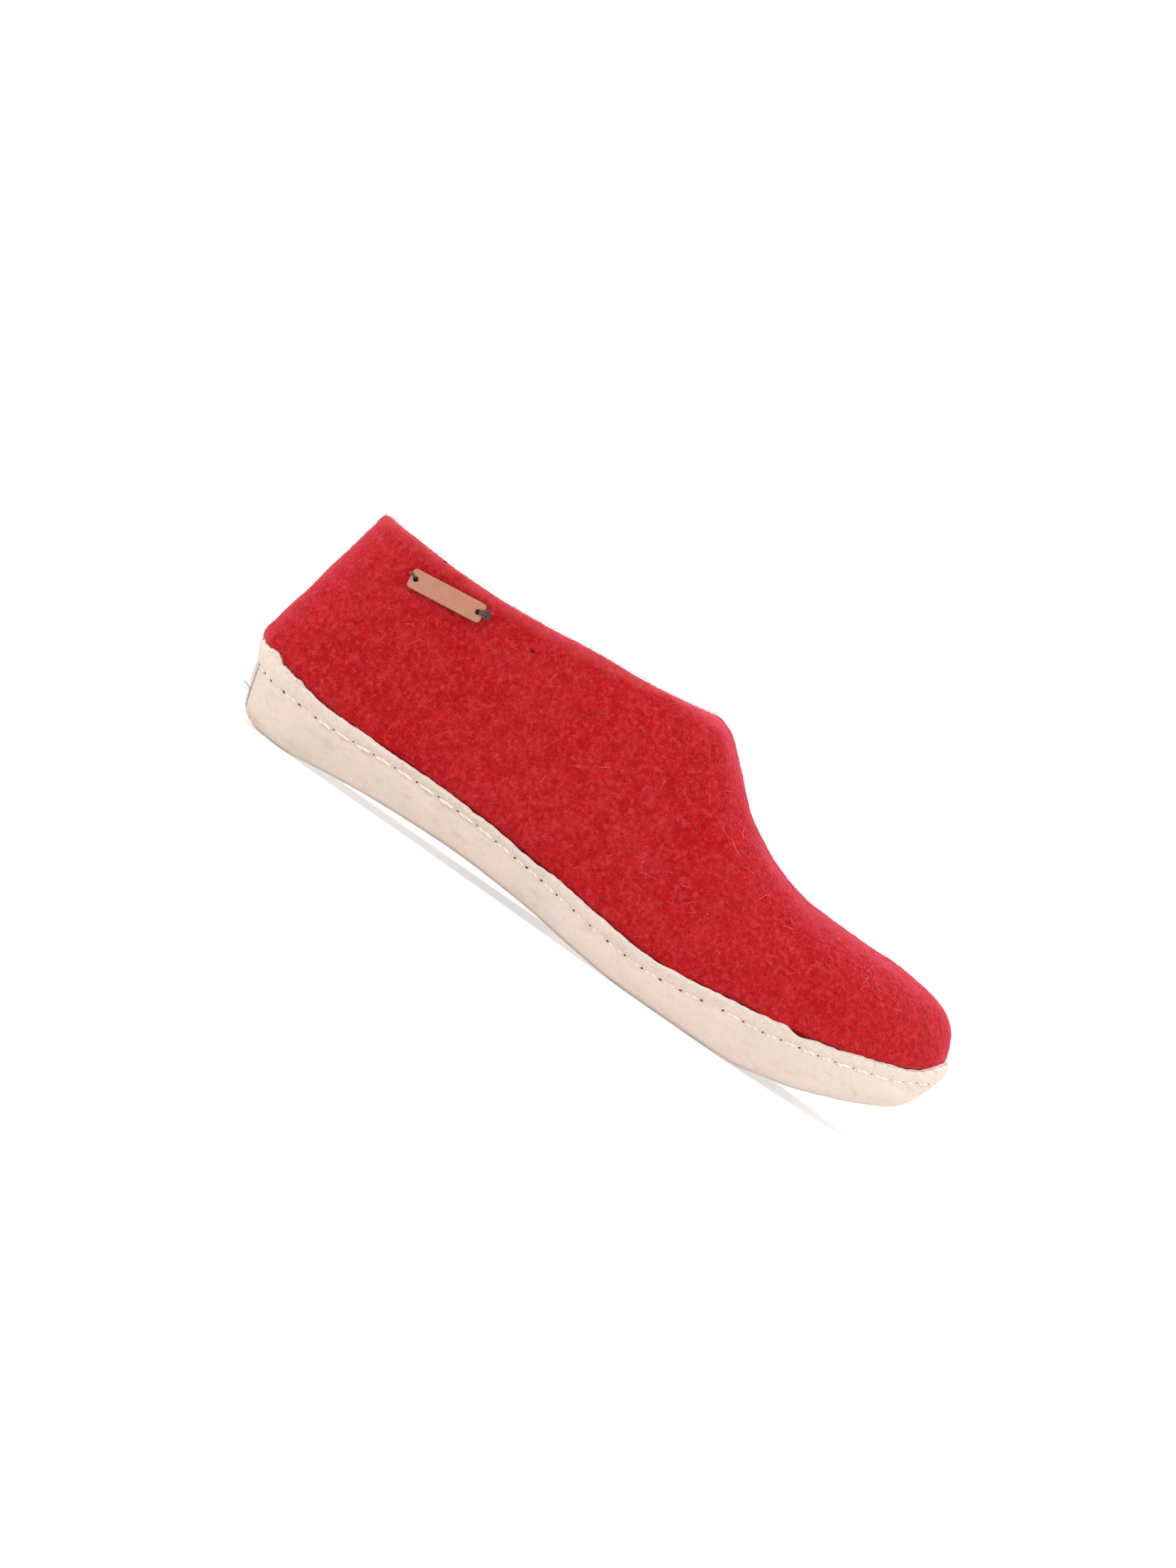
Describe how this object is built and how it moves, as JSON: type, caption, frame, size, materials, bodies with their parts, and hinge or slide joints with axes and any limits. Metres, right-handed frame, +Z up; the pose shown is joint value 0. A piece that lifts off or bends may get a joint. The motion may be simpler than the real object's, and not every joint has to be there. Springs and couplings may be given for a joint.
{
  "type": "wool felt slipper shoe",
  "caption": "Low-cut closed house shoe: thick red wool felt upper on a cream suede cup sole, with a felt insole and a small bare leather tag. Right foot.",
  "frame": {"origin": "on the floor, in the middle of the shoe's length and width", "axes": "+X to the toe, +Y to the inner side of the foot, +Z up"},
  "size_m": [0.268, 0.0996, 0.0907],
  "materials": {
    "suede": "matt napped suede, cream",
    "felt": "thick milled wool felt, red, fuzzy",
    "insole_felt": "flat wool felt, red",
    "tag_leather": "smooth undyed leather, tan",
    "thread": "waxed brown-grey thread"
  },
  "bodies": {
    "root": {"sole": "suede", "upper": "felt", "insole": "insole_felt", "tag": "tag_leather", "tag_stitch_rear": "thread", "tag_stitch_front": "thread"}
  },
  "joints": []
}
